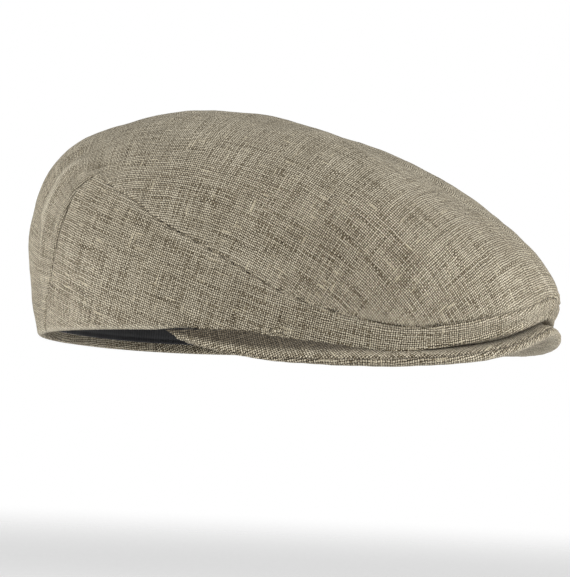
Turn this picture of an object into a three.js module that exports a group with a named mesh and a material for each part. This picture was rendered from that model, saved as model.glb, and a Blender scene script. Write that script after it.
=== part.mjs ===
// Three-panel flat cap in linen: one top panel, two side panels, a covered visor,
// a turned-up hem, a black lining and a black sweatband.
// Millimetres, +Z up. The visor points along -Y and the wearer's right side is -X.
// The origin is the middle of the head opening, level with the back of the hem.
import * as THREE from "three";

// Head opening: an ellipse, a little higher at the forehead and rolled a little at the back.
const HEM_HALF_WIDTH = 83;
const HEM_HALF_LENGTH = 101;
const HEM_FRONT_LIFT = 5;
const HEM_BACK_ROLL = 0.04;

// Visor.
const VISOR_END_ANGLE = 94;
const VISOR_REACH = 55.5;
const VISOR_FLARE = 0.08;
const VISOR_FULLNESS = 0.77;
const VISOR_TIP_HEIGHT = 11;
const VISOR_DROOP = 15;
const VISOR_ROLL = 0.085;
const VISOR_CAMBER = 3;
const VISOR_HALF_THICKNESS = 2.5;
const VISOR_BOARD_THICKNESS = 1.8;
const VISOR_END_THINNING = 0.4;
const VISOR_LAST_ANGLE = 81;
const VISOR_BOARD_ANGLE = 64;

// Crown: heights and reaches at the front, front quarter, side, back quarter and back.
const CROWN_TOP = 111;
const CROWN_TOP_Y = 19;
const CROWN_RISE = [22, 47, 62, 69, 83];
const CROWN_BULGE = [33, 24, 11, 20, 13];
const CROWN_REACH = [0.53, 0.755, 0.95, 0.885, 0.975];
const CROWN_SET_BACK = 8;
const CROWN_SIDE_SET_BACK = 14;

// Lining: the same dome, but it comes down to the head opening all the way round.
const LINING_INSET = 2.6;
const LINING_FRONT_INSET = 0.8;
const LINING_LIFT = 10;
const LINING_RISE = [55, 55, 54, 60, 73];
const LINING_BULGE = [4, 7, 10, 19.5, 12.5];
const LINING_REACH = [0.7, 0.82, 0.94, 0.885, 0.97];

// Cloth.
const LINEN = 1.0;
const LINING = 0.6;
const BAND = 1.2;
const SEAM_HALF_GAP = 0.0035;
const HEM_FOLD_RADIUS = 1.5;
const HEM_FOLD_HEIGHT = 5;
const VISOR_FOLD_RADIUS = 1.0;
const VISOR_FOLD_LENGTH = 1.2;
const BAND_DEPTH = 5.4;
const BAND_FRONT_DEPTH = 3.4;
const BAND_HEIGHT = 29;
const SEWN_GAP = 1.95;

// Seam between top and side panel, as [degrees round from the front, share of the way up].
const SEAM = [
  [0, 0.122], [16, 0.116], [34, 0.082], [49, 0.055], [67, 0.088], [86, 0.225], [103, 0.36], [115, 0.425],
  [121, 0.385], [125, 0.24], [129, 0.11], [138, 0],
];
const SEAM_CORNER = 0.62;

const UP = new THREE.Vector3(0, 0, 1);
const rad = THREE.MathUtils.degToRad;
const clamp01 = (x) => Math.min(1, Math.max(0, x));
const smooth = (x, a, b) => {
  const s = clamp01((x - a) / (b - a));
  return s * s * (3 - 2 * s);
};
const mix = (a, b, s) => a + (b - a) * s;

// Even cosine series through values given at equal angles from front to back.
function aroundHead(values, t) {
  const n = values.length - 1;
  const end = (k) => (k === 0 || k === n ? 0.5 : 1);
  let sum = 0;
  for (let j = 0; j <= n; j++) {
    let a = 0;
    for (let k = 0; k <= n; k++) a += end(k) * values[k] * Math.cos((Math.PI * j * k) / n);
    sum += end(j) * a * (2 / n) * Math.cos(j * t);
  }
  return sum;
}

// Hem of the head opening at angle t from the front, towards the wearer's left.
function hemPoint(t, inset = 0) {
  const front = (1 + Math.cos(t)) / 2;
  const roll = HEM_BACK_ROLL * HEM_HALF_WIDTH * Math.sin(t) * (1 - front);
  return new THREE.Vector3(
    (HEM_HALF_WIDTH - inset) * Math.sin(t),
    -(HEM_HALF_LENGTH - inset) * Math.cos(t),
    HEM_FRONT_LIFT * front ** 1.5 - roll,
  );
}

// Visor's outer edge; f runs from -90 degrees at the right end to 90 degrees at the left end.
function visorEdge(f) {
  const end = rad(VISOR_END_ANGLE);
  const c = Math.max(0, Math.cos(f));
  const s = Math.abs(Math.sin(f));
  const y0 = HEM_HALF_LENGTH * Math.cos(end);
  const depth = HEM_HALF_LENGTH - y0 + VISOR_REACH;
  const x = HEM_HALF_WIDTH * Math.sin(end) * Math.sin(f) * (1 + VISOR_FLARE * c);
  const y = -(y0 + depth * c ** VISOR_FULLNESS);
  const free = 1 - (Math.abs(f) / (Math.PI / 2)) ** 11;
  const arch = VISOR_TIP_HEIGHT - VISOR_DROOP * (1 - Math.exp(-((s / 0.45) ** 1.5)));
  const z = (arch + VISOR_ROLL * x) * free + (1 - free) * hemPoint(Math.sign(f) * end).z;
  return new THREE.Vector3(x, y, z);
}

// Middle surface of the visor: w is 0 at the head opening and 1 at the outer edge.
function visorPoint(f, w) {
  const share = Math.abs(f) / (Math.PI / 2);
  const inner = hemPoint(Math.sign(f) * rad(VISOR_END_ANGLE) * share ** 1.6);
  const p = inner.lerp(visorEdge(f), w);
  p.z += VISOR_CAMBER * 4 * w * (1 - w) * Math.cos(f);
  return p;
}

// Outward, sideways and upward directions on the visor.
function visorFrame(f, w) {
  const e = 0.01;
  const out = visorPoint(f, w + e).sub(visorPoint(f, w - e)).normalize();
  const side = visorPoint(f + e, w).sub(visorPoint(f - e, w)).normalize();
  const up = new THREE.Vector3().crossVectors(side, out).normalize();
  if (up.z < 0) up.negate();
  return { out, up };
}

function visorHalf(f) {
  return VISOR_HALF_THICKNESS * (1 - VISOR_END_THINNING * smooth(Math.abs(f), rad(60), rad(82)));
}

// Line where the crown starts, with the directions that its folded edge follows.
function crownBase(t) {
  const end = rad(VISOR_END_ANGLE);
  const radial = hemPoint(t).setZ(0).sub(new THREE.Vector3(0, CROWN_TOP_Y, 0)).normalize();
  const onVisor = 1 - smooth(Math.abs(t), rad(86), end);
  const tilt = 1 - smooth(Math.abs(t), rad(68), rad(86));
  if (Math.abs(t) >= end) {
    const p = hemPoint(t).addScaledVector(UP, HEM_FOLD_RADIUS + LINEN / 2);
    return { p, out: radial, up: UP.clone(), onVisor: 0 };
  }
  const share = (t / end) * (1.068 - 0.068 * (t / end) ** 4);
  const f = share * (Math.PI / 2);
  const width = visorEdge(f).distanceTo(visorPoint(f, 0));
  const setBack = CROWN_SET_BACK + CROWN_SIDE_SET_BACK * smooth(Math.abs(f), rad(48), rad(80));
  const w = clamp01(1 - setBack / Math.max(width, 1e-6));
  const frame = visorFrame(Math.sign(f) * Math.min(Math.abs(f), rad(82)), Math.max(w, 0.1));
  const out = radial.clone().lerp(frame.out, tilt).normalize();
  const up = UP.clone().lerp(frame.up, tilt).normalize();
  const visorRise = visorHalf(f) + SEWN_GAP + LINEN / 2 + VISOR_FOLD_RADIUS;
  const rise = mix(HEM_FOLD_RADIUS + LINEN / 2, visorRise, onVisor);
  return { p: visorPoint(f, w).addScaledVector(up, rise), out, up, onVisor };
}

// Dome from a base point to the pole: rise, bulge and reach set its profile.
function dome(base, t, u, top, rise, bulge, reach) {
  const pole = new THREE.Vector3(0, CROWN_TOP_Y, top);
  const flat = base.clone().sub(pole).setZ(0);
  const radius = flat.length();
  flat.normalize();
  const a = base.clone().addScaledVector(flat, aroundHead(bulge, t)).addScaledVector(UP, aroundHead(rise, t));
  const b = pole.clone().addScaledVector(flat, radius * aroundHead(reach, t));
  const v = 1 - u;
  return new THREE.Vector3()
    .addScaledVector(base, v * v * v)
    .addScaledVector(a, 3 * v * v * u)
    .addScaledVector(b, 3 * v * u * u)
    .addScaledVector(pole, u * u * u);
}

const crownPoint = (t, u) => dome(crownBase(t).p, t, u, CROWN_TOP, CROWN_RISE, CROWN_BULGE, CROWN_REACH);

// 1 where the head opening meets the visor, 0 where the cloth hem is turned up inside it.
const besideVisor = (t) => 1 - smooth(Math.abs(t), rad(35), rad(70));

function liningPoint(t, u) {
  const inset = mix(LINING_INSET, LINING_FRONT_INSET, besideVisor(t));
  const base = hemPoint(t, inset).addScaledVector(UP, LINING_LIFT);
  return dome(base, t, u, CROWN_TOP - 2.6, LINING_RISE, LINING_BULGE, LINING_REACH);
}

// Flat map of a dome: the pole is at the centre, the base is the unit circle, the front is down.
const toMap = (t, u) => new THREE.Vector2((1 - u) * Math.sin(t), -(1 - u) * Math.cos(t));
const onDome = (surface, m) => surface(Math.atan2(m.x, -m.y), 1 - m.length());

// Seam on the map for the wearer's left side, and its position moved across by a gap.
const seamCurve = new THREE.SplineCurve(SEAM.map(([deg, u]) => toMap(rad(deg), u)));
function seamPoint(s, across) {
  const p = seamCurve.getPoint(s);
  const d = seamCurve.getTangent(s);
  return new THREE.Vector2(p.x - d.y * across, p.y + d.x * across);
}

// Points of a four-sided patch between its edges, each given as a function of 0..1.
function coons(bottom, top, left, right, a, b) {
  const blend = (p, q, s) => p.clone().lerp(q, s);
  const rows = blend(bottom(a), top(a), b);
  const columns = blend(left(b), right(b), a);
  const corners = blend(blend(bottom(0), bottom(1), a), blend(top(0), top(1), a), b);
  return rows.add(columns).sub(corners);
}

// Closed shell of even thickness round a grid of points.
function sheet(grid, thickness) {
  const rows = grid.length;
  const cols = grid[0].length;
  const at = (i, j) => grid[Math.min(rows - 1, Math.max(0, i))][Math.min(cols - 1, Math.max(0, j))];
  const faces = [[], []];
  for (let i = 0; i < rows; i++) {
    for (let j = 0; j < cols; j++) {
      const along = at(i + 1, j).clone().sub(at(i - 1, j));
      const across = at(i, j + 1).clone().sub(at(i, j - 1));
      const normal = along.cross(across).normalize();
      faces[0].push(at(i, j).clone().addScaledVector(normal, thickness / 2));
      faces[1].push(at(i, j).clone().addScaledVector(normal, -thickness / 2));
    }
  }
  const positions = [...faces[0], ...faces[1]].flatMap((p) => p.toArray());
  const count = rows * cols;
  const index = [];
  const quad = (a, b, c, d) => index.push(a, b, c, a, c, d);
  const id = (i, j, side) => i * cols + j + side * count;
  for (let i = 0; i < rows - 1; i++) {
    for (let j = 0; j < cols - 1; j++) {
      quad(id(i, j, 0), id(i + 1, j, 0), id(i + 1, j + 1, 0), id(i, j + 1, 0));
      quad(id(i, j, 1), id(i, j + 1, 1), id(i + 1, j + 1, 1), id(i + 1, j, 1));
    }
  }
  for (let i = 0; i < rows - 1; i++) {
    quad(id(i, 0, 0), id(i, 0, 1), id(i + 1, 0, 1), id(i + 1, 0, 0));
    quad(id(i + 1, cols - 1, 0), id(i + 1, cols - 1, 1), id(i, cols - 1, 1), id(i, cols - 1, 0));
  }
  for (let j = 0; j < cols - 1; j++) {
    quad(id(0, j + 1, 0), id(0, j + 1, 1), id(0, j, 1), id(0, j, 0));
    quad(id(rows - 1, j, 0), id(rows - 1, j, 1), id(rows - 1, j + 1, 1), id(rows - 1, j + 1, 0));
  }
  const geometry = new THREE.BufferGeometry();
  geometry.setAttribute("position", new THREE.Float32BufferAttribute(positions, 3));
  geometry.setIndex(volume(positions, index) < 0 ? index.reverse() : index);
  return geometry;
}

function volume(p, index) {
  const corner = (k) => new THREE.Vector3(p[3 * index[k]], p[3 * index[k] + 1], p[3 * index[k] + 2]);
  let sum = 0;
  for (let k = 0; k < index.length; k += 3) sum += corner(k).dot(corner(k + 1).cross(corner(k + 2)));
  return sum;
}

// Rows of cloth below the crown's base line: under the hem and up inside, or flat on the visor.
function foldRows(t) {
  const { p, out, up, onVisor } = crownBase(t);
  const radius = mix(HEM_FOLD_RADIUS, VISOR_FOLD_RADIUS, onVisor);
  const turn = mix(Math.PI, Math.PI / 2, onVisor);
  const tail = mix(HEM_FOLD_HEIGHT, VISOR_FOLD_LENGTH, onVisor);
  const on = (angle) =>
    p
      .clone()
      .addScaledVector(out, radius * (Math.cos(angle) - 1))
      .addScaledVector(up, -radius * Math.sin(angle));
  const end = on(turn)
    .addScaledVector(out, -tail * Math.sin(turn))
    .addScaledVector(up, -tail * Math.cos(turn));
  return [end, on(turn), on((2 * turn) / 3), on(turn / 3)];
}

const mapAngle = (m) => Math.atan2(m.x, -m.y);

// Side panel: a wing from a narrow band at the front to a tall back edge.
function sidePanel(surface, side, columns, rows, thickness, folded) {
  const first = 0.003;
  const top = (a) => {
    const p = seamPoint(a * SEAM_CORNER, -SEAM_HALF_GAP);
    p.x = Math.max(p.x, first);
    return p;
  };
  const right = (b) => seamPoint(mix(1, SEAM_CORNER, b), -SEAM_HALF_GAP);
  const endAngle = mapAngle(right(0));
  const bottom = (a) => toMap(mix(first, endAngle, a), 1 - mix(1, right(0).length(), a));
  const left = (b) => new THREE.Vector2(mix(bottom(0).x, top(0).x, b), mix(bottom(0).y, top(0).y, b));
  const grid = [];
  for (let i = 0; i <= columns; i++) {
    const a = i / columns;
    const cells = [];
    for (let j = 0; j <= rows; j++) {
      const m = coons(bottom, top, left, right, a, j / rows);
      cells.push(onDome(surface, new THREE.Vector2(m.x * side, m.y)));
    }
    const fold = folded ? foldRows(mapAngle(bottom(a)) * side) : [];
    grid.push([...fold, ...cells]);
  }
  return sheet(grid, thickness);
}

// Top panel: from the back hem over the pole to the front tip, both halves as one grid.
// Its rows meet the side panels' grid lines all along the seam.
function topPanel(surface, columns, rows, halfColumns, thickness, folded) {
  const edge = (a) => seamPoint(1 - a, SEAM_HALF_GAP);
  const steps = [];
  for (let i = 0; i <= rows; i++) steps.push(1 - mix(1, SEAM_CORNER, i / rows));
  for (let i = 1; i <= columns; i++) steps.push(1 - mix(SEAM_CORNER, 0, i / columns));
  const tip = 0.012;
  const sideCurve = (a) => {
    const p = edge(a);
    if (a === 1) p.x = tip;
    return p;
  };
  const hemAngle = mapAngle(sideCurve(0));
  const middle = (a) => new THREE.Vector2(0, mix(1, sideCurve(1).y, a));
  const left = (b) => toMap(mix(Math.PI, hemAngle, b), 1 - mix(1, sideCurve(0).length(), b));
  const right = (b) => new THREE.Vector2(mix(0, sideCurve(1).x, b), sideCurve(1).y);
  const grid = [];
  for (const a of steps) {
    const line = [];
    for (let j = -halfColumns; j <= halfColumns; j++) {
      const m = coons(middle, sideCurve, left, right, a, Math.abs(j) / halfColumns);
      line.push(onDome(surface, new THREE.Vector2(m.x * Math.sign(j), m.y)));
    }
    grid.push(line);
  }
  if (folded) {
    const hemLine = [];
    for (let j = -halfColumns; j <= halfColumns; j++) {
      hemLine.push(foldRows(mapAngle(left(Math.abs(j) / halfColumns)) * (j < 0 ? -1 : 1)));
    }
    for (let k = 3; k >= 0; k--) grid.unshift(hemLine.map((column) => column[k]));
  }
  return sheet(grid, thickness);
}

// Visor covers: the lower one also rolls up round the rim to meet the upper one.
function visorCover(lower, columns, rows) {
  const grid = [];
  for (let i = 0; i <= columns; i++) {
    const f = rad(mix(-VISOR_LAST_ANGLE, VISOR_LAST_ANGLE, i / columns));
    const half = visorHalf(f);
    const offset = half - LINEN / 2;
    const width = visorEdge(f).distanceTo(visorPoint(f, 0));
    const rim = 1 - half / width;
    const line = [];
    for (let j = 0; j <= rows; j++) {
      const w = mix(0.5 / width, rim, j / rows);
      line.push(visorPoint(f, w).addScaledVector(visorFrame(f, w).up, lower ? -offset : offset));
    }
    if (lower) {
      const { out, up } = visorFrame(f, rim);
      for (const angle of [40, 80, 120, 150]) {
        const turn = rad(angle) * (1 - 0.33 * smooth(Math.abs(f), rad(60), rad(76)));
        const p = visorPoint(f, rim).addScaledVector(out, offset * Math.sin(turn));
        line.push(p.addScaledVector(up, -offset * Math.cos(turn)));
      }
    } else {
      line[rows].addScaledVector(visorFrame(f, rim).out, -1.5);
    }
    grid.push(line);
  }
  return sheet(grid, LINEN);
}

function visorBoard(columns, rows) {
  const grid = [];
  for (let i = 0; i <= columns; i++) {
    const f = rad(mix(-VISOR_BOARD_ANGLE, VISOR_BOARD_ANGLE, i / columns));
    const width = visorEdge(f).distanceTo(visorPoint(f, 0));
    const line = [];
    for (let j = 0; j <= rows; j++) line.push(visorPoint(f, mix(3 / width, 1 - 3.6 / width, j / rows)));
    grid.push(line);
  }
  return sheet(grid, VISOR_BOARD_THICKNESS);
}

// Sweatband: a strip that stands inside the hem, with its ends meeting at the back.
function sweatband(columns, rows) {
  const grid = [];
  for (let i = 0; i <= columns; i++) {
    const t = mix(-Math.PI + 0.002, Math.PI - 0.002, i / columns);
    const low = mix(4.5, 1, smooth(Math.cos(t), -0.2, 0.6));
    const line = [];
    for (let j = 0; j <= rows; j++) {
      const z = mix(low, BAND_HEIGHT, j / rows);
      line.push(hemPoint(t, mix(BAND_DEPTH, BAND_FRONT_DEPTH, besideVisor(t))).addScaledVector(UP, z));
    }
    grid.push(line);
  }
  return sheet(grid, BAND);
}

const linenColor = 0x91876f;
const blackColor = 0x0b0b0c;
const part = new THREE.Group();
function add(name, geometry, color, roughness) {
  const mesh = new THREE.Mesh(geometry, new THREE.MeshStandardMaterial({ color, roughness, metalness: 0 }));
  mesh.name = name;
  part.add(mesh);
}

add("top_panel", topPanel(crownPoint, 30, 7, 8, LINEN, true), linenColor, 0.95);
add("side_panel_right", sidePanel(crownPoint, -1, 30, 7, LINEN, true), linenColor, 0.95);
add("side_panel_left", sidePanel(crownPoint, 1, 30, 7, LINEN, true), linenColor, 0.95);
add("visor_top_cover", visorCover(false, 34, 4), linenColor, 0.95);
add("visor_bottom_cover", visorCover(true, 34, 4), linenColor, 0.95);
add("visor_board", visorBoard(24, 3), 0x2a2a2a, 0.6);
add("lining_top", topPanel(liningPoint, 20, 5, 6, LINING, false), blackColor, 0.6);
add("lining_side_right", sidePanel(liningPoint, -1, 20, 5, LINING, false), blackColor, 0.6);
add("lining_side_left", sidePanel(liningPoint, 1, 20, 5, LINING, false), blackColor, 0.6);
add("sweatband", sweatband(56, 2), blackColor, 0.85);

export default part;
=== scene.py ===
"""Looks of the linen flat cap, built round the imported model. Metres, -Y forwards, +Z up."""

import math

import bpy
import numpy as np
from mathutils import Matrix, Vector


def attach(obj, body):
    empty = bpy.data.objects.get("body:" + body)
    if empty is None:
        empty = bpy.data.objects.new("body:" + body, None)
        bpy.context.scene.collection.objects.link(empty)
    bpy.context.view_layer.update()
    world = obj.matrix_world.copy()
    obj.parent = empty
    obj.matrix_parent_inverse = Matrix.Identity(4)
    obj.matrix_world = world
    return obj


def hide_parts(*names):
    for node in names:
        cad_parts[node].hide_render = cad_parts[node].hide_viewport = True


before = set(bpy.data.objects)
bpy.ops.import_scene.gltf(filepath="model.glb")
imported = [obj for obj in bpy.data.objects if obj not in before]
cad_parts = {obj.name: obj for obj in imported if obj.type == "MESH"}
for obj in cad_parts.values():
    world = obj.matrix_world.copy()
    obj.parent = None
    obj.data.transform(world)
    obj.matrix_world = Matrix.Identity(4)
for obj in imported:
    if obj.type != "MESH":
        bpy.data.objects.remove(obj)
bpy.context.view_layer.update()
MM = 0.001

# ---------------------------------------------------------------- shape, in millimetres
HALF_WIDTH, HALF_LENGTH, FRONT_LIFT, HEM_BACK_ROLL = 83.0, 101.0, 5.0, 0.04
VISOR_END, VISOR_REACH, VISOR_FLARE, VISOR_FULLNESS = 94.0, 55.5, 0.08, 0.77
TIP_HEIGHT, DROOP, VISOR_ROLL, CAMBER, HALF_THICKNESS = 11.0, 15.0, 0.085, 3.0, 2.5
END_THINNING, LAST_ANGLE, SET_BACK, SIDE_SET_BACK = 0.4, 87.0, 8.0, 14.0
CROWN_TOP, CROWN_TOP_Y = 111.0, 19.0
# Folded edge of the crown: at the hem it turns up inside, and on the visor it turns in.
HEM_FOLD_RADIUS, HEM_FOLD_LENGTH = 1.5, 5.0
VISOR_FOLD_RADIUS, VISOR_FOLD_LENGTH = 1.0, 1.4
# Room between the crown's folded edge and the visor; less than none at the ends, where it sinks in.
SEWN_GAP, SEWN_GAP_AT_ENDS = 0.35, -0.6
# Lining: distance inside the crown at the back and beside the visor, and height of its lower edge.
LINING_GAP, LINING_FRONT_GAP, LINING_HEM = 2.6, 0.8, 10
# Sweatband: height of its top edge, height of its lower edge at the back and at the front, and
# distance inside the hem line at the back and at the front.
BAND_TOP, BAND_LOW, BAND_FRONT_LOW, BAND_DEPTH, BAND_FRONT_DEPTH = 29.0, 4.5, 1.0, 5.4, 3.4
# Crown and lining, at equal steps from the front round to the back: rise of the side above its base,
# outward bulge of the side, and reach of the top as a share of the radius.
CROWN = ([22, 47, 62, 69, 83], [33, 24, 11, 20, 13], [0.53, 0.755, 0.95, 0.885, 0.975])
LINING = ([55, 55, 54, 60, 73], [4, 7, 10, 19.5, 12.5], [0.7, 0.82, 0.94, 0.885, 0.97])
LINEN_THICKNESS, LINING_THICKNESS, TAPE_THICKNESS = 0.9, 0.5, 1.0
# Seam between top and side panel: degrees from the front, and share of the way up the dome.
SEAM = [
    (0, 0.122), (16, 0.116), (34, 0.082), (49, 0.055), (67, 0.088), (86, 0.225),
    (103, 0.36), (115, 0.425), (121, 0.385), (125, 0.24), (129, 0.11), (138, 0),
]
# Share of the seam's run where the side panel's top edge turns down into its back edge.
CORNER = 0.62
# Creases in the top panel, as degrees and shares like the seam's.
BACK_CREASE = (
    (118, 127, 130, 132, 133, 134, 133, 134),
    (0.515, 0.49, 0.46, 0.415, 0.345, 0.295, 0.25, 0.12),
)
FRONT_CREASE = ((-6, -5, -4, -2), (0.265, 0.23, 0.195, 0.14))
# A seam's stitched line beside it, and the distance given where there is no seam near.
STITCH_LINE, NO_SEAM = 3.2, 60.0
# A point inside the head, which tells the outside of a sheet from its inside.
INSIDE = (0, 0, 40)
rad = math.radians
UP = np.array([0.0, 0.0, 1.0])


def vec(x, y, z):
    return np.stack(np.broadcast_arrays(x, y, z), axis=-1).astype(float)


def unit(v):
    return v / np.maximum(np.linalg.norm(v, axis=-1, keepdims=True), 1e-9)


def smooth(x, a, b):
    s = np.clip((x - a) / (b - a), 0, 1)
    return s * s * (3 - 2 * s)


def mix(a, b, s):
    return a + (b - a) * s


def around_head(values, t):
    """Cosine curve through values at equal steps from the front, t = 0, to the back, t = pi."""
    n = len(values) - 1
    ends = np.array([0.5 if k in (0, n) else 1.0 for k in range(n + 1)])
    k = np.arange(n + 1)
    total = 0
    for j in range(n + 1):
        a = np.sum(ends * np.array(values) * np.cos(np.pi * j * k / n)) * 2 / n
        total = total + ends[j] * a * np.cos(j * t)
    return total


def hem_point(t, inset=0.0):
    front = (1 + np.cos(t)) / 2
    z = FRONT_LIFT * front**1.5 - HEM_BACK_ROLL * HALF_WIDTH * np.sin(t) * (1 - front)
    return vec((HALF_WIDTH - inset) * np.sin(t), -(HALF_LENGTH - inset) * np.cos(t), z)


def visor_edge(f):
    end = rad(VISOR_END)
    c = np.maximum(np.cos(f), 1e-9)
    y0 = HALF_LENGTH * math.cos(end)
    x = HALF_WIDTH * math.sin(end) * np.sin(f) * (1 + VISOR_FLARE * c)
    y = -(y0 + (HALF_LENGTH - y0 + VISOR_REACH) * c**VISOR_FULLNESS)
    free = 1 - (np.abs(f) / (np.pi / 2)) ** 11
    arch = TIP_HEIGHT - DROOP * (1 - np.exp(-((np.abs(np.sin(f)) / 0.45) ** 1.5)))
    z = (arch + VISOR_ROLL * x) * free + (1 - free) * hem_point(np.sign(f) * end)[..., 2]
    return vec(x, y, z)


def visor_point(f, w):
    f, w = np.broadcast_arrays(f, w)
    inner = hem_point(np.sign(f) * rad(VISOR_END) * (np.abs(f) / (np.pi / 2)) ** 1.6)
    p = mix(inner, visor_edge(f), w[..., None])
    p[..., 2] += CAMBER * 4 * w * (1 - w) * np.cos(f)
    return p


def visor_frame(f, w):
    e = 0.01
    out = unit(visor_point(f, w + e) - visor_point(f, w - e))
    side = unit(visor_point(f + e, w) - visor_point(f - e, w))
    up = unit(np.cross(side, out))
    return out, np.where(up[..., 2:] < 0, -up, up)


def visor_width(f):
    return np.linalg.norm(visor_edge(f) - visor_point(f, 0 * f), axis=-1)


def visor_half(f):
    return HALF_THICKNESS * (1 - END_THINNING * smooth(np.abs(f), rad(60), rad(82)))


def crown_base(t):
    """Line where the crown starts, with the directions that its folded edge follows."""
    end = rad(VISOR_END)
    radial = hem_point(t) - np.array([0, CROWN_TOP_Y, 0])
    radial[..., 2] = 0
    radial = unit(radial)
    x = np.clip(t / end, -1, 1)
    f = x * (1.068 - 0.068 * x**4) * np.pi / 2
    width = visor_width(f)
    set_back = SET_BACK + SIDE_SET_BACK * smooth(np.abs(f), rad(48), rad(80))
    w = np.clip(1 - set_back / np.maximum(width, 1e-6), 0, 1)
    on_visor = 1 - smooth(np.abs(t), rad(86), end)
    tilt = 1 - smooth(np.abs(t), rad(68), rad(86))
    out, up = visor_frame(np.sign(f) * np.minimum(np.abs(f), rad(82)), np.maximum(w, 0.1))
    out = unit(mix(radial, out, tilt[..., None]))
    up = unit(mix(np.broadcast_to(UP, up.shape), up, tilt[..., None]))
    sewn = mix(SEWN_GAP, SEWN_GAP_AT_ENDS, smooth(np.abs(t), rad(62), rad(80)))
    over_visor = visor_half(f) + sewn + LINEN_THICKNESS / 2 + VISOR_FOLD_RADIUS
    rise = mix(HEM_FOLD_RADIUS + LINEN_THICKNESS / 2, over_visor, on_visor)
    start = np.where((np.abs(t) >= end)[..., None], hem_point(t), visor_point(f, w))
    return start + up * rise[..., None], out, up, on_visor


def dome(base, t, u, top, shape):
    pole = np.array([0, CROWN_TOP_Y, top])
    flat = base - pole
    flat[..., 2] = 0
    radius = np.linalg.norm(flat, axis=-1, keepdims=True)
    flat = flat / np.maximum(radius, 1e-9)
    rise, bulge, reach = (around_head(v, t)[..., None] for v in shape)
    a = base + flat * bulge + UP * rise
    b = pole + flat * radius * reach
    u = u[..., None]
    v = 1 - u
    return base * v**3 + 3 * a * v * v * u + 3 * b * v * u * u + pole * u**3


def crown_point(t, u):
    return dome(crown_base(t)[0], t, u, CROWN_TOP, CROWN)


def beside_visor(t):
    return 1 - smooth(np.abs(t), rad(35), rad(70))


def lining_point(t, u):
    inset = mix(LINING_GAP, LINING_FRONT_GAP, beside_visor(t))
    return dome(hem_point(t, inset) + UP * LINING_HEM, t, u, CROWN_TOP - LINING_GAP, LINING)


# The flat map of a dome: pole at the centre, base on the unit circle, front down.
def to_map(t, u):
    return np.stack([(1 - u) * np.sin(t), -(1 - u) * np.cos(t)], axis=-1)


def on_dome(surface, m):
    return surface(np.arctan2(m[..., 0], -m[..., 1]), 1 - np.linalg.norm(m, axis=-1))


def spline(points, s):
    """Catmull-Rom curve through the points at s in 0..1."""
    p = np.asarray(points, float)
    n = len(p)
    x = np.clip(s, 0, 1) * (n - 1)
    i = np.minimum(np.floor(x).astype(int), n - 1)
    w = (x - i)[..., None]
    p0, p1 = p[np.maximum(i - 1, 0)], p[i]
    p2, p3 = p[np.minimum(i + 1, n - 1)], p[np.minimum(i + 2, n - 1)]
    v0, v1 = (p2 - p0) / 2, (p3 - p1) / 2
    cubic, square = 2 * p1 - 2 * p2 + v0 + v1, -3 * p1 + 3 * p2 - 2 * v0 - v1
    return cubic * w**3 + square * w**2 + v0 * w + p1


SEAM_MAP = [to_map(rad(deg), u) for deg, u in SEAM]


def seam_point(s):
    return spline(SEAM_MAP, s)


def coons(bottom, top, left, right, a, b):
    """Grid of a four-sided patch: a along, b across."""
    aa, bb = a[:, None, None], b[None, :, None]
    rows = mix(bottom(a)[:, None], top(a)[:, None], bb)
    cols = mix(left(b)[None], right(b)[None], aa)
    zero, one = np.zeros(1), np.ones(1)
    c00, c10, c01, c11 = bottom(zero), bottom(one), top(zero), top(one)
    corners = mix(mix(c00, c10, aa[:, 0])[:, None], mix(c01, c11, aa[:, 0])[:, None], bb)
    return rows + cols - corners


# ---------------------------------------------------------------- noise and mesh helpers
def lumps(p, size, seed, octaves=2):
    """Smooth noise from a few seeded waves, about -1 to 1, with lumps of that size in mm."""
    rng = np.random.default_rng(seed)
    total = np.zeros(p.shape[:-1])
    weight = 0
    for octave in range(octaves):
        for _ in range(9):
            k = unit(rng.normal(size=3)) * 2 * np.pi / (size * rng.uniform(0.8, 1.6) / 2**octave)
            total += np.sin(p @ k + rng.uniform(0, 7)) / 2**octave
        weight += 2.2 / 2**octave
    return total / weight


def normals(grid):
    along, across = np.gradient(grid, axis=0), np.gradient(grid, axis=1)
    return unit(np.cross(along, across))


def lengths(grid, axis):
    step = np.linalg.norm(np.diff(grid, axis=axis), axis=-1)
    zero = np.zeros_like(np.take(step, [0], axis=axis))
    return np.concatenate([zero, np.cumsum(step, axis=axis)], axis=axis)


def turned_by(flat, angle):
    c, s = math.cos(angle), math.sin(angle)
    return np.stack([c * flat[..., 0] - s * flat[..., 1], s * flat[..., 0] + c * flat[..., 1]], -1)


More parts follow.
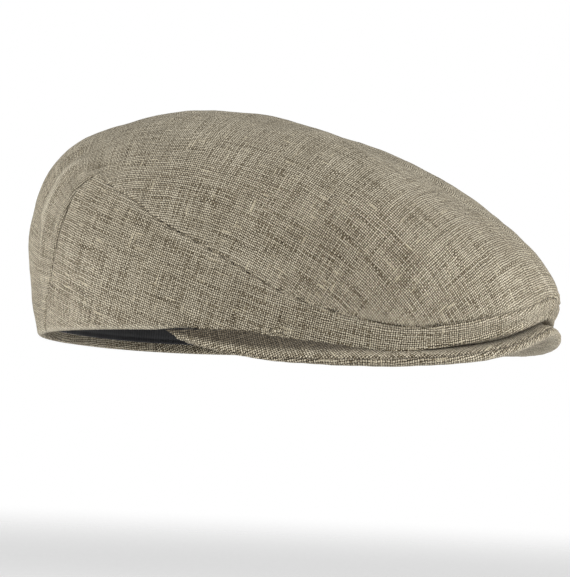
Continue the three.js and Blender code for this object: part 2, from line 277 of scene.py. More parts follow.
def laid_flat(grid, guess, along=44, across=18, rounds=60):
    """Flat pattern of a sheet of cloth with little stretch: one 2-D point per grid point.

    It is worked out on a coarse grid. Each round turns every triangle to fit the pattern so
    far, then moves all the points to fit the turned triangles.
    """
    rows, cols = grid.shape[:2]
    pick_i = np.unique(np.linspace(0, rows - 1, along).round().astype(int))
    pick_j = np.unique(np.linspace(0, cols - 1, across).round().astype(int))
    p = grid[np.ix_(pick_i, pick_j)]
    u = guess[np.ix_(pick_i, pick_j)].reshape(-1, 2).copy()
    shape = p.shape[:2]
    p = p.reshape(-1, 3)
    ids = np.arange(len(p)).reshape(shape)
    a, b, c, d = ids[:-1, :-1], ids[1:, :-1], ids[1:, 1:], ids[:-1, 1:]
    # Both diagonals of every square, so that neither way is favoured.
    corners = ((a, b, c), (a, c, d), (a, b, d), (b, c, d))
    tri = np.concatenate([np.stack(q, -1).reshape(-1, 3) for q in corners])
    first, second = p[tri[:, 1]] - p[tri[:, 0]], p[tri[:, 2]] - p[tri[:, 0]]
    ex = unit(first)
    ey = unit(second - ex * np.sum(second * ex, axis=-1, keepdims=True))
    local = np.zeros((len(tri), 3, 2))
    local[:, 1, 0] = np.sum(first * ex, axis=-1)
    local[:, 2, 0], local[:, 2, 1] = np.sum(second * ex, axis=-1), np.sum(second * ey, axis=-1)
    area = np.maximum(local[:, 1, 0] * local[:, 2, 1], 1e-6)
    matrix = np.zeros((len(p), len(p)))
    weights = []
    for i, j, k in ((0, 1, 2), (1, 2, 0), (2, 0, 1)):
        w = np.sum((local[:, i] - local[:, k]) * (local[:, j] - local[:, k]), axis=-1) / area
        w = np.clip(w, 0.02, 20)
        weights.append((i, j, w))
        for m, n, sign in ((i, i, 1), (j, j, 1), (i, j, -1), (j, i, -1)):
            np.add.at(matrix, (tri[:, m], tri[:, n]), sign * w)
    # Pins the first point at the origin.
    matrix[0, 0] += 1
    inverse = np.linalg.inv(matrix)
    for _ in range(rounds):
        now = u[tri]
        cosine, sine = 0, 0
        for i, j, w in weights:
            e, f = local[:, i] - local[:, j], now[:, i] - now[:, j]
            cosine = cosine + w * (e[:, 0] * f[:, 0] + e[:, 1] * f[:, 1])
            sine = sine + w * (e[:, 0] * f[:, 1] - e[:, 1] * f[:, 0])
        size = np.maximum(np.hypot(cosine, sine), 1e-9)
        cosine, sine = cosine / size, sine / size
        right = np.zeros_like(u)
        for i, j, w in weights:
            e = local[:, i] - local[:, j]
            turned = np.stack([cosine * e[:, 0] - sine * e[:, 1], sine * e[:, 0] + cosine * e[:, 1]], -1)
            turned = turned * w[:, None]
            np.add.at(right, tri[:, i], turned)
            np.add.at(right, tri[:, j], -turned)
        u = inverse @ right
    u = u.reshape(*shape, 2)
    full = np.empty((rows, shape[1], 2))
    # Smooth curves through the coarse pattern, by arc length along the sheet.
    for j, column in enumerate(pick_j):
        place = lengths(grid[:, column][:, None], 0)[:, 0]
        for k in range(2):
            full[:, j, k] = smooth_curve(place, place[pick_i], u[:, j, k])
    result = np.empty((rows, cols, 2))
    for i in range(rows):
        place = lengths(grid[i][None], 1)[0]
        for k in range(2):
            result[i, :, k] = smooth_curve(place, place[pick_j], full[i, :, k])
    return result


def smooth_curve(x, knots, values):
    """Cubic Hermite interpolation of values at knots."""
    knots = knots + 1e-9 * np.arange(len(knots))
    slope = np.gradient(values, knots)
    i = np.clip(np.searchsorted(knots, x, side="right") - 1, 0, len(knots) - 2)
    h = knots[i + 1] - knots[i]
    t = np.clip((x - knots[i]) / h, 0, 1)
    a = (2 * t**3 - 3 * t**2 + 1) * values[i] + (t**3 - 2 * t**2 + t) * h * slope[i]
    return a + (3 * t**2 - 2 * t**3) * values[i + 1] + (t**3 - t**2) * h * slope[i + 1]


def mesh_object(name, points, faces, material, attributes):
    mesh = bpy.data.meshes.new(name)
    mesh.from_pydata((np.asarray(points) * MM).tolist(), [], [tuple(f) for f in faces])
    mesh.update()
    for key, values in attributes:
        values = np.asarray(values, dtype=np.float32)
        kind = "FLOAT_VECTOR" if values.ndim == 2 else "FLOAT"
        data = mesh.attributes.new(key, kind, "POINT").data
        data.foreach_set("vector" if values.ndim == 2 else "value", values.ravel())
    mesh.polygons.foreach_set("use_smooth", [True] * len(mesh.polygons))
    mesh.materials.append(material)
    obj = bpy.data.objects.new(name, mesh)
    bpy.context.scene.collection.objects.link(obj)
    return obj


def shell(name, grid, thickness, material, cloth, painted_light=None, outward=1):
    """Closed sheet of cloth round a grid of mid-surface points."""
    n = normals(grid) * outward
    rows, cols = grid.shape[:2]
    front, back = grid + n * thickness / 2, grid - n * thickness / 2
    points = np.concatenate([front.reshape(-1, 3), back.reshape(-1, 3)])
    ids = np.arange(rows * cols).reshape(rows, cols)
    other = ids + rows * cols
    outer = np.stack([ids[:-1, :-1], ids[1:, :-1], ids[1:, 1:], ids[:-1, 1:]], -1)
    inner = np.stack([other[:-1, :-1], other[:-1, 1:], other[1:, 1:], other[1:, :-1]], -1)
    quads = [outer.reshape(-1, 4), inner.reshape(-1, 4)]
    ring = np.concatenate([ids[:-1, 0], ids[-1, :-1], ids[:0:-1, -1], ids[0, :0:-1]])
    after = np.roll(ring, -1)
    quads.append(np.stack([ring, ring + rows * cols, after + rows * cols, after], -1))
    faces = np.concatenate(quads)
    if outward < 0:
        faces = faces[:, ::-1]
    cloth2 = np.concatenate([cloth.reshape(-1, 3)] * 2) * MM
    # Painted light per point: above zero a painted highlight, below zero painted shade.
    painted_light2 = np.concatenate([(painted_light if painted_light is not None else np.zeros((rows, cols))).ravel()] * 2)
    return mesh_object(name, points, faces, material, (("cloth", cloth2), ("painted_light", painted_light2)))


# ---------------------------------------------------------------- materials
class Nodes:
    """Short calls for building a node tree."""

    def __init__(self, name):
        self.material = bpy.data.materials.new(name)
        self.material.use_nodes = True
        self.tree = self.material.node_tree
        self.shader = self.tree.nodes["Principled BSDF"]

    def put(self, value, socket):
        if isinstance(value, bpy.types.NodeSocket):
            self.tree.links.new(value, socket)
        elif value is not None:
            socket.default_value = value

    def add(self, kind, inputs=None, out=0, **settings):
        node = self.tree.nodes.new(kind)
        for key, value in settings.items():
            setattr(node, key, value)
        for key, value in (inputs or {}).items():
            self.put(value, node.inputs[key])
        return node.outputs[out]

    def math(self, op, a, b=None, c=None, clamp=False):
        node = self.tree.nodes.new("ShaderNodeMath")
        node.operation, node.use_clamp = op, clamp
        for i, value in enumerate((a, b, c)):
            self.put(value, node.inputs[i])
        return node.outputs[0]

    def noise(self, vector, scale, detail=2.0, rough=0.5):
        inputs = {"Vector": vector, "Scale": scale, "Detail": detail, "Roughness": rough}
        return self.add("ShaderNodeTexNoise", inputs)

    def scaled(self, vector, by):
        return self.add("ShaderNodeVectorMath", {0: vector, 1: by}, operation="MULTIPLY")

    def ramp(self, value, stops):
        node = self.tree.nodes.new("ShaderNodeValToRGB")
        self.put(value, node.inputs[0])
        elements = node.color_ramp.elements
        while len(elements) < len(stops):
            elements.new(0.5)
        for element, (position, color) in zip(elements, stops):
            element.position = position
            element.color = (*color, 1) if isinstance(color, tuple) else (color, color, color, 1)
        return node.outputs[0]

    def blend(self, mode, fac, a, b):
        return self.add("ShaderNodeMix", {0: fac, 6: a, 7: b}, out=2, data_type="RGBA", blend_type=mode)

    def bump(self, height, strength, distance):
        settings = {"Height": height, "Strength": strength, "Distance": distance}
        self.put(self.add("ShaderNodeBump", settings), self.shader.inputs["Normal"])


def srgb(*values):
    """Linear colour of display values from 0 to 255."""
    shares = [v / 255 for v in values]
    return tuple(v / 12.92 if v <= 0.04045 else ((v + 0.055) / 1.055) ** 2.4 for v in shares)


def linen(name, pitch=0.98, tone=0.54):
    """Plain-woven slubby linen: light yarns, dark gaps, uneven yarn thickness and colour."""
    m = Nodes(name)
    cloth = m.add("ShaderNodeAttribute", attribute_name="cloth", out=1)
    # The yarns waver by up to about half a millimetre.
    drift = m.add("ShaderNodeTexNoise", {"Vector": cloth, "Scale": 160.0, "Detail": 2.0}, out=1)
    waver = m.add("ShaderNodeVectorMath", {0: drift, 1: (0.5, 0.5, 0.5)}, operation="SUBTRACT")
    waver = m.scaled(waver, (0.0011, 0.0011, 0))
    placed = m.add("ShaderNodeVectorMath", {0: waver, 1: cloth}, operation="ADD")
    xyz = m.tree.nodes.new("ShaderNodeSeparateXYZ")
    m.put(placed, xyz.inputs[0])
    wave = 1000 * math.pi / pitch
    warp = m.math("SINE", m.math("MULTIPLY", xyz.outputs[0], wave))
    weft = m.math("SINE", m.math("MULTIPLY", xyz.outputs[1], wave))
    over = m.math("MULTIPLY_ADD", m.math("MULTIPLY", warp, weft), 2.2, 0.5, clamp=True)
    # Yarns vary in thickness along their length.
    along_warp = m.noise(m.scaled(placed, (900, 45, 1)), 1.0, 2.0)
    along_weft = m.noise(m.scaled(placed, (45, 900, 1)), 1.0, 2.0)

    def yarn(wave_height, along):
        round_top = m.math("POWER", m.math("ABSOLUTE", wave_height), 0.7)
        return m.math("MULTIPLY", round_top, m.math("MULTIPLY_ADD", along, 1.4, 0.3))

    warp_top = m.math("MULTIPLY", yarn(warp, along_warp), over)
    weft_top = m.math("MULTIPLY", yarn(weft, along_weft), m.math("SUBTRACT", 1.0, over))
    top = m.math("MAXIMUM", warp_top, weft_top)
    # Slubs: short stretches of thick light yarn.
    slub_a, slub_b = (
        m.math("MULTIPLY_ADD", m.noise(m.scaled(cloth, by), 1.0, 1.0), 14.0, -9.5, clamp=True)
        for by in ((700, 90, 1), (90, 700, 1))
    )
    slub = m.math("MAXIMUM", slub_a, slub_b)
    fibre = m.noise(m.scaled(placed, (3200, 3200, 1)), 1.0, 3.0, 0.7)
    speck = m.noise(m.scaled(cloth, (1150, 1150, 1)), 1.0, 1.0)
    height = m.math("ADD", m.math("MULTIPLY_ADD", slub, 0.35, top), m.math("MULTIPLY", fibre, 0.25))
    colors = ((4, 2, 1), (52, 41, 27), (146, 133, 107), (255, 247, 226))
    dark, mid, light, pale = (tuple(c * tone for c in srgb(*v)) for v in colors)
    shade = m.math("ADD", m.math("MULTIPLY", top, 0.85), m.math("MULTIPLY_ADD", fibre, 0.36, -0.4))
    shade = m.math("MULTIPLY_ADD", speck, 0.62, shade)
    color = m.ramp(shade, ((0.22, dark), (0.46, mid), (0.7, light), (0.97, pale)))
    color = m.blend("MIX", m.math("MULTIPLY", slub, 0.55), color, (*srgb(206, 198, 176), 1))
    cloudy = m.noise(m.scaled(cloth, (38, 38, 38)), 1.0, 3.0)
    tint = m.ramp(cloudy, ((0.3, (0.9, 0.86, 0.79)), (0.7, (1.08, 1.05, 0.99))))
    color = m.blend("MULTIPLY", 1.0, color, tint)
    # Painted light from the sheet's attribute: above zero mixes in a pale painted highlight, below zero
    # multiplies in dark painted shade.
    painted_light = m.add("ShaderNodeAttribute", attribute_name="painted_light", out=2)
    painted_highlight = m.math("MULTIPLY", m.math("MAXIMUM", painted_light, 0.0), 0.45)
    color = m.blend("MIX", painted_highlight, color, (*srgb(205, 197, 178), 1))
    shaded = m.math("MAXIMUM", m.math("MULTIPLY", painted_light, -1.0), 0.0)
    color = m.blend("MULTIPLY", shaded, color, (0.16, 0.13, 0.1, 1))
    m.put(color, m.shader.inputs["Base Color"])
    m.put(m.math("MULTIPLY_ADD", top, -0.12, 0.95), m.shader.inputs["Roughness"])
    m.shader.inputs["Specular IOR Level"].default_value = 0.2
    m.shader.inputs["Sheen Weight"].default_value = 0.22
    m.shader.inputs["Sheen Roughness"].default_value = 0.42
    m.shader.inputs["Sheen Tint"].default_value = (*srgb(225, 220, 205), 1)
    m.bump(height, 1.0, 0.0005)
    return m.material


def dark_cloth(name, pitch, ribbed, color, roughness):
    """Black lining, finely woven, or black ribbed tape."""
    m = Nodes(name)
    cloth = m.add("ShaderNodeAttribute", attribute_name="cloth", out=1)
    xyz = m.tree.nodes.new("ShaderNodeSeparateXYZ")
    m.put(cloth, xyz.inputs[0])
    wave = 1000 * math.pi / pitch
    rib = m.math("ABSOLUTE", m.math("SINE", m.math("MULTIPLY", xyz.outputs[0], wave)))
    cross_wave = wave * (3 if ribbed else 1)
    other = m.math("ABSOLUTE", m.math("SINE", m.math("MULTIPLY", xyz.outputs[1], cross_wave)))
    height = m.math("MULTIPLY_ADD", other, 0.2 if ribbed else 0.9, rib)
    fibre = m.noise(m.scaled(cloth, (2500, 600, 1)), 1.0, 3.0, 0.6)
    height = m.math("MULTIPLY_ADD", fibre, 0.3, height)
    shade = m.math("MULTIPLY_ADD", fibre, 0.6, m.math("MULTIPLY", rib, 0.5))
    low, high = (tuple(c * k for c in color) for k in (0.55, 1.9))
    tone = m.ramp(shade, ((0.2, low), (0.9, high)))
    cloudy = m.noise(m.scaled(cloth, (45, 45, 45)), 1.0, 2.0)
    tone = m.blend("MULTIPLY", 1.0, tone, m.ramp(cloudy, ((0.3, 0.8), (0.7, 1.15))))
    m.put(tone, m.shader.inputs["Base Color"])
    m.put(m.math("MULTIPLY_ADD", fibre, 0.18, roughness), m.shader.inputs["Roughness"])
    m.shader.inputs["Specular IOR Level"].default_value = 0.4
    m.shader.inputs["Sheen Weight"].default_value = 0.15
    m.bump(height, 0.5, 0.0002)
    return m.material


def plastic(name):
    m = Nodes(name)
    place = m.add("ShaderNodeTexCoord", out=3)
    grain = m.noise(place, 1400.0, 3.0)
    tone = m.ramp(grain, ((0.3, (0.012, 0.012, 0.013)), (0.7, (0.03, 0.03, 0.031))))
    m.put(tone, m.shader.inputs["Base Color"])
    m.put(m.math("MULTIPLY_ADD", grain, 0.2, 0.45), m.shader.inputs["Roughness"])
    m.bump(grain, 0.3, 0.0002)
    return m.material


LINEN_CLOTH = linen("linen")
LINING_CLOTH = dark_cloth("lining_weave", 0.45, False, (0.012, 0.012, 0.013), 0.45)
TAPE = dark_cloth("sweatband_tape", 1.3, True, (0.013, 0.013, 0.014), 0.7)
BOARD = plastic("visor_board_plastic")


# ---------------------------------------------------------------- crown panels
def dense(n, low=0.0, high=0.0):
    """0..1 in n steps, closer together near an end by that share."""
    x = np.linspace(0, 1, n)
    bend = np.sin(2 * np.pi * x)
    return x - low * bend / (2 * np.pi) * (x < 0.5) - high * bend / (2 * np.pi) * (x >= 0.5)


def ridge(d, width):
    """1 at d = 0, falling off smoothly over that width."""
    return np.exp(-((d / width) ** 2))


def fold_rows(t, arc=7, tail=4):
    """Cloth below the crown's base line, from its raw edge to the base: (len(t), rows, 3)."""
    p, out, up, on_visor = crown_base(t)
    radius = mix(HEM_FOLD_RADIUS, VISOR_FOLD_RADIUS, on_visor)
    turn = mix(np.pi, np.pi / 2, on_visor)
    length = mix(HEM_FOLD_LENGTH, VISOR_FOLD_LENGTH, on_visor)

    def on(angle):
        return p + out * (radius * (np.cos(angle) - 1))[:, None] - up * (radius * np.sin(angle))[:, None]

    end = on(turn)
    way = -out * np.sin(turn)[:, None] - up * np.cos(turn)[:, None]
    rows = [end + way * (length * k / tail)[:, None] for k in range(tail, 0, -1)]
    rows += [on(turn * k / arc) for k in range(arc, 0, -1)]
    return np.stack(rows, axis=1)


def seam_relief(d, s, seed):
    """Height of sewn cloth at distance d from a seam, length s along it: groove, allowance, puckers."""
    rng = np.random.default_rng(seed)
    groove = -0.5 * np.exp(-((d / 0.8) ** 2))
    allowance = 0.25 * (1 - smooth(d, 5.0, 8.0)) * smooth(d, 0.5, 2.5)
    phase = rng.uniform(0, 7, 3)
    pucker = np.sin(2 * np.pi * s / 9.5 + phase[0]) + 0.6 * np.sin(2 * np.pi * s / 6.1 + phase[1])
    pucker = pucker + 0.7 * np.sin(2 * np.pi * s / 15.7 + phase[2])
    return groove + allowance + 0.13 * pucker * np.exp(-d / 8.0) * smooth(d, 0.0, 2.0)


def near_curve(points, curve, reach=40.0):
    """Distance of each point from a curve, reach at most, and its nearest place along it, 0..1."""
    flat = points.reshape(-1, 3)
    best, where = np.full(len(flat), reach), np.zeros(len(flat))
    for i, c in enumerate(curve):
        d = np.linalg.norm(flat - c, axis=1)
        closer = d < best
        best[closer], where[closer] = d[closer], i / (len(curve) - 1)
    return best.reshape(points.shape[:-1]), where.reshape(points.shape[:-1])


def soft_form(grid, seed):
    """Gentle unevenness of unpressed cloth."""
    return 0.55 * lumps(grid, 62, seed) + 0.22 * lumps(grid, 24, seed + 1) + 0.07 * lumps(grid, 9, seed + 2)


def fold_swell(base, v):
    """Over the visor the crown swells just above its sewn edge."""
    on_visor = 1 - smooth(np.abs(np.arctan2(base[:, 0], -base[:, 1])), rad(78), rad(92))
    return on_visor[:, None] * (1.3 * ridge(v - 3.6, 2.6) - 0.5 * ridge(v + 0.6, 0.8))


def outward_sign(n, grid):
    return 1 if np.sum(n * (grid - INSIDE)) > 0 else -1


def side_panel(name, node, surface, side, folded, thickness, material, columns=230, rows=72):
    """Side wing: narrow round the front, tall at the back, with its turned-up hem if folded."""

    def top(a):
        return seam_point(a * CORNER)

    def right(b):
        return seam_point(mix(1, CORNER, b))

    back_foot = right(np.zeros(1))[0]
    back_angle = math.atan2(back_foot[0], -back_foot[1])

    def bottom(a):
        return to_map(mix(0.0, back_angle, a), 0 * a)

    def left(b):
        return mix(bottom(np.zeros(1)), top(np.zeros(1)), b[:, None])

    m = coons(bottom, top, left, right, dense(columns, 0.5, 0.6), dense(rows, 0.0, 0.75))
    m[..., 0] *= side
    grid = on_dome(surface, m)
    s, v = lengths(grid, 0), lengths(grid, 1)
    to_top = v[:, -1:] - v
    to_front, to_back = s, s[-1:] - s
    if folded:
        fold = fold_rows(np.arctan2(m[:, 0, 0], -m[:, 0, 1]))
        join = np.linalg.norm(fold[:, -1] - grid[:, 0], axis=-1)[:, None]
        below = -lengths(fold[:, ::-1], 1)[:, ::-1] - join
        grid = np.concatenate([fold, grid], axis=1)
        extra = fold.shape[1]
        v = np.concatenate([below, v], axis=1)
        s, to_front, to_back = (
            np.concatenate([np.repeat(x[:, :1], extra, 1), x], axis=1) for x in (s, to_front, to_back)
        )
        to_top = np.concatenate([np.full((columns, extra), NO_SEAM), to_top], axis=1)
    n = normals(grid)
    flip = outward_sign(n, grid)
    n = n * flip
    above_hem = smooth(v, -1, 3)
    relief = seam_relief(to_top, s, 3)
    relief = relief + seam_relief(to_back, v, 4) * above_hem + seam_relief(to_front, v, 5) * above_hem
    if folded:
        puckered = 0.1 * np.sin(2 * np.pi * s / 7.3) * np.exp(-np.maximum(v, 0) / 6)
        soft = soft_form(grid, 11) * smooth(np.minimum(to_top, v), -2, 14)
        relief = relief + soft + puckered * smooth(v, 0, 3)
        relief = relief * smooth(v, -3.0, 2.0)
        relief = relief + fold_swell(m[:, 0], v) * smooth(to_top, -1.0, 5.0)
    grid = grid + n * relief[..., None] * (1 if folded else 0.6)
    # The first guess at the flat pattern curves round towards the front.
    turn = rad(60) * np.maximum(0, 1 - s[:, 0] / s[-1, 0])
    ds = np.gradient(s[:, 0])
    hx, hy = np.cumsum(np.cos(turn) * ds), np.cumsum(np.sin(turn) * ds)
    across_x, across_y = v * np.sin(turn)[:, None], v * np.cos(turn)[:, None]
    flat = laid_flat(grid, np.stack([hx[:, None] - across_x, hy[:, None] + across_y], -1))
    # The grain runs along the middle of its tall back part.
    middle = grid.shape[1] // 2
    back = flat[int(0.95 * columns), middle] - flat[int(0.7 * columns), middle]
    flat = turned_by(flat, -math.atan2(back[1], back[0]))
    cloth = np.concatenate([flat, 0 * v[..., None] + 40 * side], axis=-1)
    # Painted light: a painted highlight along the stitched line and painted shade in the seam grooves.
    painted_light = 0.2 * ridge(to_top - STITCH_LINE, 1.6) * smooth(s, 10, 30)
    painted_light = painted_light - 0.5 * ridge(np.minimum(to_top, to_back), 0.7)
    if folded:
        # Painted highlight along the folded hem edge.
        painted_light = painted_light + 0.55 * ridge(v + 1.2, 1.3)
    obj = shell(name, grid, thickness, material, cloth, painted_light, flip)
    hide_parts(node)
    return obj


def top_panel(name, node, surface, folded, thickness, material, rows=250, half=62):
    """Top from the front tip over the crown and down the back, with its turned-up hem if folded."""
    # Half the panel's width at its front tip, on the flat map.
    tip = 0.012

    def side_curve(a):
        p = seam_point(1 - a)
        p[..., 0] = np.where(a >= 1, tip, np.maximum(p[..., 0], tip))
        return p

    zero, one = np.zeros(1), np.ones(1)
    hem_angle = math.atan2(side_curve(zero)[0, 0], -side_curve(zero)[0, 1])
    tip_y = side_curve(one)[0, 1]

    def middle(a):
        return np.stack([0 * a, mix(1, tip_y, a)], -1)

    def left(b):
        return to_map(mix(np.pi, hem_angle, b), 0 * b)

    def right(b):
        return np.stack([mix(0, tip, b), tip_y + 0 * b], -1)

    m = coons(middle, side_curve, left, right, dense(rows, 0.3, 0.6), dense(half + 1, 0.0, 0.7))
    mirror = m[:, :0:-1].copy()
    mirror[..., 0] *= -1
    m = np.concatenate([mirror, m], axis=1)
    grid = on_dome(surface, m)
    s, across = lengths(grid, 0), lengths(grid, 1)
    to_side = np.minimum(across, across[:, -1:] - across)
    to_tip = s[-1:] - s
    extra = 0
    if folded:
        fold = fold_rows(np.arctan2(m[0, :, 0], -m[0, :, 1])).transpose(1, 0, 2)
        extra = fold.shape[0]
        below = -lengths(fold[::-1], 0)[::-1] - np.linalg.norm(fold[-1] - grid[0], axis=-1)[None]
        grid = np.concatenate([fold, grid])
        s = np.concatenate([below, s])
        to_side = np.concatenate([np.repeat(to_side[:1], extra, 0), to_side])
        to_tip = np.concatenate([np.full((extra, grid.shape[1]), NO_SEAM), to_tip])
        across = np.concatenate([np.repeat(across[:1], extra, 0), across])
    n = normals(grid)
    flip = outward_sign(n, grid)
    n = n * flip
    mid = grid.shape[1] // 2
    flat = laid_flat(grid, np.stack([s, across], -1))
    flat = flat - flat[extra, mid]
    along = flat[-1, mid] - flat[extra, mid]
    flat = turned_by(flat, -math.atan2(along[1], along[0]))
    run, warp = flat[..., 1], flat[..., 0]
    cloth = np.stack([run, warp, 0 * run], -1)
    relief = seam_relief(to_side, s, 7) * smooth(s, -1, 3) + seam_relief(to_tip, across, 8)
    # Painted light: painted shade in the seam grooves and a painted highlight along the stitched line.
    painted_light = -0.5 * ridge(np.minimum(to_side, to_tip), 0.7) + 0.15 * ridge(to_side - STITCH_LINE, 1.6)
    if folded:
        relief = relief + soft_form(grid, 21) * smooth(np.minimum(to_side, to_tip), -2, 16)
        for side in (-1, 1):
            degrees, up = np.array(BACK_CREASE[0]) * side, np.array(BACK_CREASE[1])
            line = spline(to_map(np.radians(degrees), up), np.linspace(0, 1, 70))
            d, where = near_curve(grid, on_dome(surface, line))
            strength = smooth(where, 0.0, 0.25) * (1 - smooth(where, 0.75, 1.0))
            relief = relief + strength * (1.2 * ridge(d, 2.6) - 0.4 * ridge(d - 7, 3.0))
            # Painted highlight along the back crease's ridge.
            painted_light = painted_light + 0.8 * strength * ridge(d, 2.2)
        degrees, up = np.array(FRONT_CREASE[0]), np.array(FRONT_CREASE[1])
        line = spline(to_map(np.radians(degrees), up), np.linspace(0, 1, 40))
        d, where = near_curve(grid, on_dome(surface, line))
        fade = smooth(where, 0.0, 0.35)
        relief = relief + fade * 0.7 * ridge(d, 1.5)
        # Painted highlights along the front crease and along the folded hem edge.
        painted_light = painted_light + 0.5 * fade * ridge(d, 1.2) + 0.5 * ridge(s + 1.2, 1.3)
        relief = relief * smooth(s, -3.0, 2.0)
    grid = grid + n * relief[..., None] * (1 if folded else 0.6)
    obj = shell(name, grid, thickness, material, cloth, painted_light, flip)
    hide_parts(node)
    return obj


# ---------------------------------------------------------------- visor
def visor_cover(name, node, lower, columns=240, rows=34):
    """Linen above or below the board, turned over the rim to the seam of the two covers."""
    f = np.radians(np.linspace(-LAST_ANGLE, LAST_ANGLE, columns))[:, None]
    half = visor_half(f)
    offset = half - LINEN_THICKNESS / 2
    width = visor_width(f)
    rim = 1 - half / width
    w = mix(0.5 / width, rim, dense(rows, 0.0, 0.6)[None])
    ff = np.broadcast_to(f, w.shape)
    _, up = visor_frame(ff, w)
    grid = visor_point(ff, w) + up * (offset * (-1 if lower else 1))[..., None]
    out, up = visor_frame(f, rim)
    base = visor_point(f, rim)
    steps = np.radians(np.linspace(12, 152, 13) if lower else np.linspace(4, 22, 3))
    wrap = []
    for angle in steps:
        turn = angle if lower else np.pi - angle
        outwards, upwards = offset * np.sin(turn), offset * np.cos(turn)
        wrap.append(base + out * outwards[..., None] - up * upwards[..., None])
    wrap = np.concatenate(wrap, axis=1)
    grid = np.concatenate([grid, wrap], axis=1)
    run, along = lengths(grid, 1), lengths(grid, 0)
    to_rim = run[:, -1:] - run
    n = normals(grid)
    flip = (-1 if lower else 1) * (1 if np.mean(n[:, : rows // 2, 2]) > 0 else -1)
    n = n * flip
    s = along[:, rows : rows + 1] + 0 * run
    # The two covers meet in a seam at the top of the rim.
    relief = -0.55 * ridge(to_rim, 0.9) + 0.08 * np.sin(2 * np.pi * s / 8.7) * np.exp(-to_rim / 7)
    relief = relief + 0.12 * lumps(grid, 20, 31 + lower) * smooth(run, 0, 8)
    grid = grid + n * relief[..., None]
    flat = laid_flat(grid, np.stack([s, run], -1))
    if lower:
        cloth = np.concatenate([turned_by(flat, rad(45)), 0 * run[..., None] + 90], axis=-1)
        # Painted highlight on the rolled rim and painted shade in the seam at the rim's top.
        painted_light = 0.5 * ridge(to_rim - 5.5, 2.5) - 0.6 * ridge(to_rim, 0.8)
    else:
        cloth = np.concatenate([flat, 0 * run[..., None] + 70], axis=-1)
        # Painted shade in the seam at the rim's top, and painted shadow under the crown's overhang, darker
        # away from the rim.
        painted_light = -0.4 * ridge(to_rim, 0.8) - 0.85 * smooth(to_rim, 3.0, 8.0)
    obj = shell(name, grid, LINEN_THICKNESS, LINEN_CLOTH, cloth, painted_light, flip)
    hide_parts(node)
    return obj


# ---------------------------------------------------------------- sweatband
def sweatband(name, node, columns=420, rows=40):
    t = np.linspace(-np.pi + 0.003, np.pi - 0.003, columns)[:, None]
    low = mix(BAND_LOW, BAND_FRONT_LOW, smooth(np.cos(t), -0.2, 0.6))
    share = np.linspace(0, 1, rows)[None]
    z = mix(low, BAND_TOP, share)
    depth = mix(BAND_DEPTH, BAND_FRONT_DEPTH, beside_visor(t)) + 0 * z
    grid = hem_point(t + 0 * z, depth) + UP * z[..., None]
    s, v = lengths(grid, 0), lengths(grid, 1)
    n = normals(grid)
    flip = -1 if np.sum(n * grid) > 0 else 1
    n = n * flip
    relief = -0.5 * ridge(v - 2.2, 0.7) + 0.16 * np.sin(2 * np.pi * s / 11) * np.exp(-v / 7)
    relief = relief + 0.35 * lumps(grid, 45, 41) * smooth(v, 0, 8)
    grid = grid + n * relief[..., None]
    cloth = np.stack([s, v, 0 * s + 150], -1)
    obj = shell(name, grid, TAPE_THICKNESS, TAPE, cloth, None, flip)
    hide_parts(node)
    return obj


LINEN_LOOK = (LINEN_THICKNESS, LINEN_CLOTH)
LINING_LOOK = (LINING_THICKNESS, LINING_CLOTH)
pieces = [
    top_panel("linen_top_panel", "top_panel", crown_point, True, *LINEN_LOOK),
    side_panel("linen_side_panel_right", "side_panel_right", crown_point, -1, True, *LINEN_LOOK),
    side_panel("linen_side_panel_left", "side_panel_left", crown_point, 1, True, *LINEN_LOOK),
    visor_cover("linen_visor_top", "visor_top_cover", False),
    visor_cover("linen_visor_underside", "visor_bottom_cover", True),
]
linings = [
    top_panel("lining_top_cloth", "lining_top", lining_point, False, *LINING_LOOK, 150, 40),
    side_panel(
        "lining_side_right_cloth", "lining_side_right", lining_point, -1, False, *LINING_LOOK, 120, 36
    ),
    side_panel(
        "lining_side_left_cloth", "lining_side_left", lining_point, 1, False, *LINING_LOOK, 120, 36
    ),
]
band = sweatband("sweatband_tape", "sweatband")
for obj in pieces:
    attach(obj, "root")
for obj in linings:
    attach(obj, "root")
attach(band, "root")
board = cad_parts["visor_board"]
for slot in board.material_slots:
    slot.material = BOARD

# ---------------------------------------------------------------- floor, light and camera
FLOOR_Z, FLOOR_RADIUS, FLOOR_SIDES = -0.17, 30, 96
AMBIENT = 0.36
mesh = bpy.data.meshes.new("floor")
around = np.linspace(0, 2 * np.pi, FLOOR_SIDES, endpoint=False)
ring = [(FLOOR_RADIUS * math.cos(a), FLOOR_RADIUS * math.sin(a), FLOOR_Z) for a in around]
mesh.from_pydata(ring, [], [tuple(range(FLOOR_SIDES))])
floor = bpy.data.objects.new("floor", mesh)
bpy.context.scene.collection.objects.link(floor)
paper = Nodes("floor_paper")
tooth = paper.noise(paper.add("ShaderNodeTexCoord", out=3), 220.0, 3.0)
paper.put(paper.ramp(tooth, ((0.2, 0.86), (0.8, 0.9))), paper.shader.inputs["Base Color"])
paper.shader.inputs["Roughness"].default_value = 0.95
paper.shader.inputs["Specular IOR Level"].default_value = 0.1
# The floor fades out into the white studio.
place = paper.add("ShaderNodeTexCoord", out=3)
spread = paper.add("ShaderNodeVectorMath", {0: place}, out=1, operation="LENGTH")
fade = paper.add("ShaderNodeMapRange", {0: spread, 1: 0.5, 2: 2.6}, interpolation_type="SMOOTHSTEP")
clear = paper.add("ShaderNodeBsdfTransparent")
whole = paper.add("ShaderNodeMixShader", {0: fade, 1: paper.shader.outputs[0], 2: clear})
paper.put(whole, paper.tree.nodes["Material Output"].inputs["Surface"])
mesh.materials.append(paper.material)

world = bpy.data.worlds.new("studio")
bpy.context.scene.world = world
world.use_nodes = True
world.node_tree.nodes["Background"].inputs[0].default_value = (1.0, 1.0, 1.0, 1)
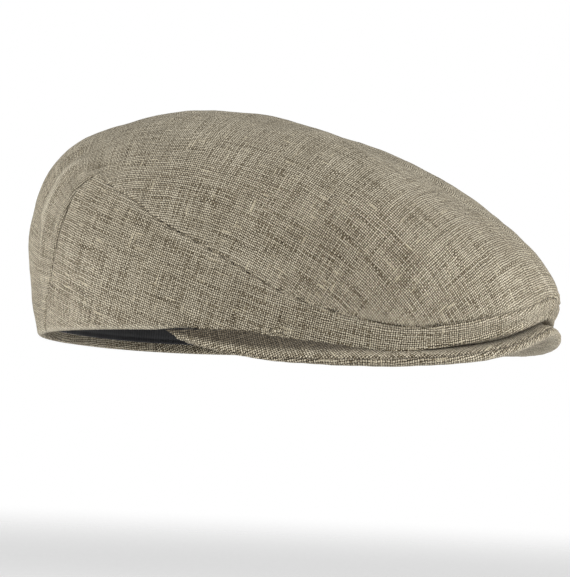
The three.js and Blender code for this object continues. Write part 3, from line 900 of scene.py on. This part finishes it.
# White behind the object, with less light from all round than that white would give.
sky = world.node_tree
path = sky.nodes.new("ShaderNodeLightPath")
level = sky.nodes.new("ShaderNodeMapRange")
level.inputs["To Min"].default_value = AMBIENT
sky.links.new(path.outputs["Is Camera Ray"], level.inputs["Value"])
sky.links.new(level.outputs[0], sky.nodes["Background"].inputs[1])
bpy.context.scene.view_settings.view_transform = "Standard"
bpy.context.scene.view_settings.look = "None"


def area_light(name, place, aim, size, power, color=(1, 1, 1)):
    light = bpy.data.lights.new(name, "AREA")
    light.energy, light.size, light.color = power, size, color
    obj = bpy.data.objects.new(name, light)
    obj.location = place
    obj.rotation_euler = (Vector(aim) - Vector(place)).to_track_quat("-Z", "Y").to_euler()
    bpy.context.scene.collection.objects.link(obj)
    return obj


area_light("overhead_softbox", (-0.1, -0.1, 1.4), (0, -0.03, 0.06), 0.9, 0.5)
area_light("side_softbox", (-1.25, -0.5, 0.65), (0, -0.03, 0.05), 0.7, 7.6)
area_light("back_softbox", (-0.75, 1.3, 0.35), (0, 0, 0.05), 0.7, 26.0)
area_light("front_softbox", (0.2, -1.5, 0.6), (0, -0.05, 0.05), 0.7, 33.0)

# The camera fitted to the photograph; the ratio is its focal length over the picture's longer side.
AZIMUTH, ELEVATION, DISTANCE, ROLL = rad(-66), rad(-3.6), 1.1, rad(2.6)
SENSOR_WIDTH, FOCAL_RATIO = 36.0, 2310 / 577
TARGET = Vector((0, -0.022, 0.0285))
away = Vector((
    math.sin(AZIMUTH) * math.cos(ELEVATION),
    -math.cos(AZIMUTH) * math.cos(ELEVATION),
    math.sin(ELEVATION),
))
camera_data = bpy.data.cameras.new("camera")
camera_data.sensor_width = SENSOR_WIDTH
camera_data.lens = FOCAL_RATIO * SENSOR_WIDTH
camera = bpy.data.objects.new("camera", camera_data)
turn = (-away).to_track_quat("-Z", "Y").to_matrix().to_4x4()
roll = Matrix.Rotation(ROLL, 4, "Z")
camera.matrix_world = Matrix.Translation(TARGET + away * DISTANCE) @ turn @ roll
bpy.context.scene.collection.objects.link(camera)
bpy.context.scene.camera = camera
